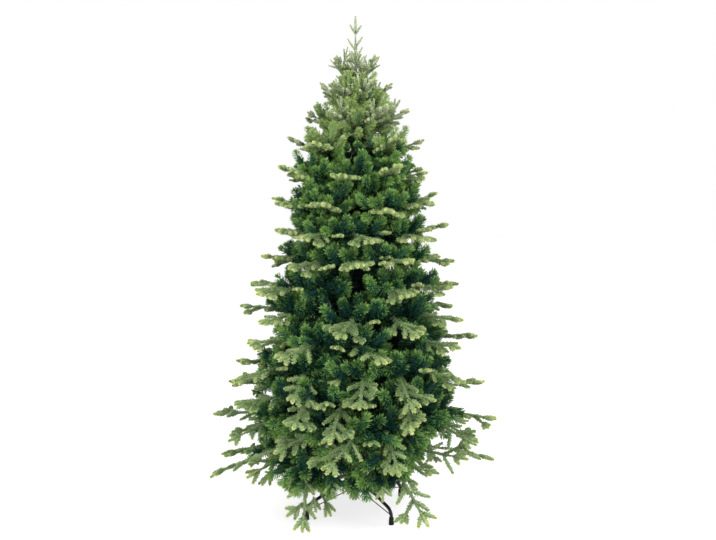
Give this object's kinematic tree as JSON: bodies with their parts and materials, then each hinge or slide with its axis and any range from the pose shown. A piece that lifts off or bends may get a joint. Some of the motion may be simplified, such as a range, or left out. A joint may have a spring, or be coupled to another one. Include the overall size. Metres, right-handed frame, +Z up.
{
  "type": "artificial christmas tree",
  "caption": "Slender artificial fir with tiers of moulded sprays over dense tinsel tips, a straight steel pole and a folding stand with bent tube legs.",
  "frame": {"origin": "on the floor, at the middle of the crown's plan, where the pole's axis meets the floor", "axes": "+Z up along the pole, +X to the tree's right in the picture, -Y towards its viewer"},
  "size_m": [1.0466, 1.0464, 1.8],
  "materials": {
    "pole_paint": "semi-gloss dark green paint on steel tube",
    "stand_paint": "satin black paint on steel",
    "foot_rubber": "matt black",
    "foliage": "matt dark green tinsel with satin yellow-green moulded sprays at the tips",
    "new_foliage": "satin yellow-green moulded needles"
  },
  "bodies": {
    "root": {"pole": "pole_paint", "hub": "stand_paint", "leg_1": "stand_paint", "brace_1": "stand_paint", "foot_cap_1": "foot_rubber", "leg_2": "stand_paint", "brace_2": "stand_paint", "foot_cap_2": "foot_rubber", "leg_3": "stand_paint", "brace_3": "stand_paint", "foot_cap_3": "foot_rubber", "leg_4": "stand_paint", "brace_4": "stand_paint", "foot_cap_4": "foot_rubber", "bough_01_a": "foliage", "bough_01_b": "foliage", "bough_01_c": "foliage", "bough_02_a": "foliage", "bough_02_b": "foliage", "bough_02_c": "foliage", "bough_02_d": "foliage", "bough_03_a": "foliage", "bough_03_b": "foliage", "bough_03_c": "foliage", "bough_03_d": "foliage", "bough_04_a": "foliage", "bough_04_b": "foliage", "bough_04_c": "foliage", "bough_04_d": "foliage", "bough_05_a": "foliage", "bough_05_b": "foliage", "bough_05_c": "foliage", "bough_06_a": "foliage", "bough_06_b": "foliage", "bough_06_c": "foliage", "bough_07_a": "foliage", "bough_07_b": "foliage", "bough_07_c": "foliage", "bough_08_a": "foliage", "bough_08_b": "foliage", "bough_08_c": "foliage", "bough_09_a": "foliage", "bough_09_b": "foliage", "bough_09_c": "foliage", "bough_10_a": "foliage", "bough_10_b": "foliage", "bough_10_c": "foliage", "bough_11_a": "foliage", "bough_11_b": "foliage", "bough_11_c": "foliage", "bough_12_a": "foliage", "bough_12_b": "foliage", "bough_13_a": "foliage", "bough_13_b": "foliage", "bough_14_a": "foliage", "bough_14_b": "foliage", "bough_15_a": "foliage", "bough_15_b": "foliage", "leader": "new_foliage"}
  },
  "joints": []
}
